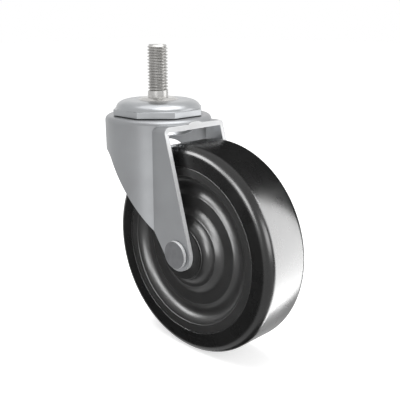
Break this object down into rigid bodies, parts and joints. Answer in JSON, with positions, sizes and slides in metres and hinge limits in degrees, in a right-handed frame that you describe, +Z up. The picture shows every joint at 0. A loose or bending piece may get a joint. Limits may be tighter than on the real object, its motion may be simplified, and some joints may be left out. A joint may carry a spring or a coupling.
{
  "type": "swivel caster",
  "caption": "Swivel caster with a threaded stem, ball race head with an octagonal cup, pressed steel fork and a rubber-tyred wheel on a roller bearing.",
  "frame": {"origin": "centre of the stem's seat face, where the collar meets the furniture, on the swivel axis", "axes": "+Z up the threaded stem, +X the way the wheel trails from the swivel axis, Y along the wheel's axle"},
  "size_m": [0.1089, 0.0518, 0.143],
  "materials": {
    "stem_steel": "bright zinc plated, turned",
    "cup_steel": "bright zinc plated, pressed",
    "fork_steel": "zinc plated, pressed, satin",
    "rivet_steel": "zinc plated, satin",
    "bearing_steel": "ground and polished",
    "washer_plastic": "moulded nylon, matt",
    "cage_plastic": "moulded acetal, satin",
    "tread_rubber": "moulded rubber, satin",
    "wheel_plastic": "moulded polypropylene, semi-gloss"
  },
  "bodies": {
    "stem": {"threaded_stem": "stem_steel", "upper_cup": "cup_steel", "lower_cup": "cup_steel"},
    "fork": {"fork": "fork_steel", "axle_rivet": "rivet_steel", "axle_sleeve": "bearing_steel", "left_washer": "washer_plastic", "right_washer": "washer_plastic", "upper_ball_01": "bearing_steel", "upper_ball_02": "bearing_steel", "upper_ball_03": "bearing_steel", "upper_ball_04": "bearing_steel", "upper_ball_05": "bearing_steel", "upper_ball_06": "bearing_steel", "upper_ball_07": "bearing_steel", "upper_ball_08": "bearing_steel", "upper_ball_09": "bearing_steel", "upper_ball_10": "bearing_steel", "upper_ball_11": "bearing_steel", "upper_ball_12": "bearing_steel", "upper_ball_13": "bearing_steel", "upper_ball_14": "bearing_steel", "upper_ball_15": "bearing_steel", "upper_ball_16": "bearing_steel", "upper_ball_17": "bearing_steel", "upper_ball_18": "bearing_steel", "upper_ball_19": "bearing_steel", "upper_ball_20": "bearing_steel", "lower_ball_01": "bearing_steel", "lower_ball_02": "bearing_steel", "lower_ball_03": "bearing_steel", "lower_ball_04": "bearing_steel", "lower_ball_05": "bearing_steel", "lower_ball_06": "bearing_steel", "lower_ball_07": "bearing_steel", "lower_ball_08": "bearing_steel", "lower_ball_09": "bearing_steel", "lower_ball_10": "bearing_steel", "lower_ball_11": "bearing_steel", "lower_ball_12": "bearing_steel", "lower_ball_13": "bearing_steel", "lower_ball_14": "bearing_steel", "lower_ball_15": "bearing_steel", "lower_ball_16": "bearing_steel", "lower_ball_17": "bearing_steel", "lower_ball_18": "bearing_steel", "lower_ball_19": "bearing_steel", "lower_ball_20": "bearing_steel"},
    "wheel": {"tyre": "tread_rubber", "wheel_centre": "wheel_plastic", "roller_cage": "cage_plastic", "roller_1": "bearing_steel", "roller_2": "bearing_steel", "roller_3": "bearing_steel", "roller_4": "bearing_steel", "roller_5": "bearing_steel", "roller_6": "bearing_steel", "roller_7": "bearing_steel", "roller_8": "bearing_steel"}
  },
  "joints": [
    {"name": "swivel", "type": "hinge", "parent": "stem", "child": "fork", "pos_m": [0, 0, 0], "axis": [0, 0, 1], "continuous": true},
    {"name": "wheel_spin", "type": "hinge", "parent": "fork", "child": "wheel", "pos_m": [0.033, 0, -0.068], "axis": [0, 1, 0], "continuous": true}
  ]
}
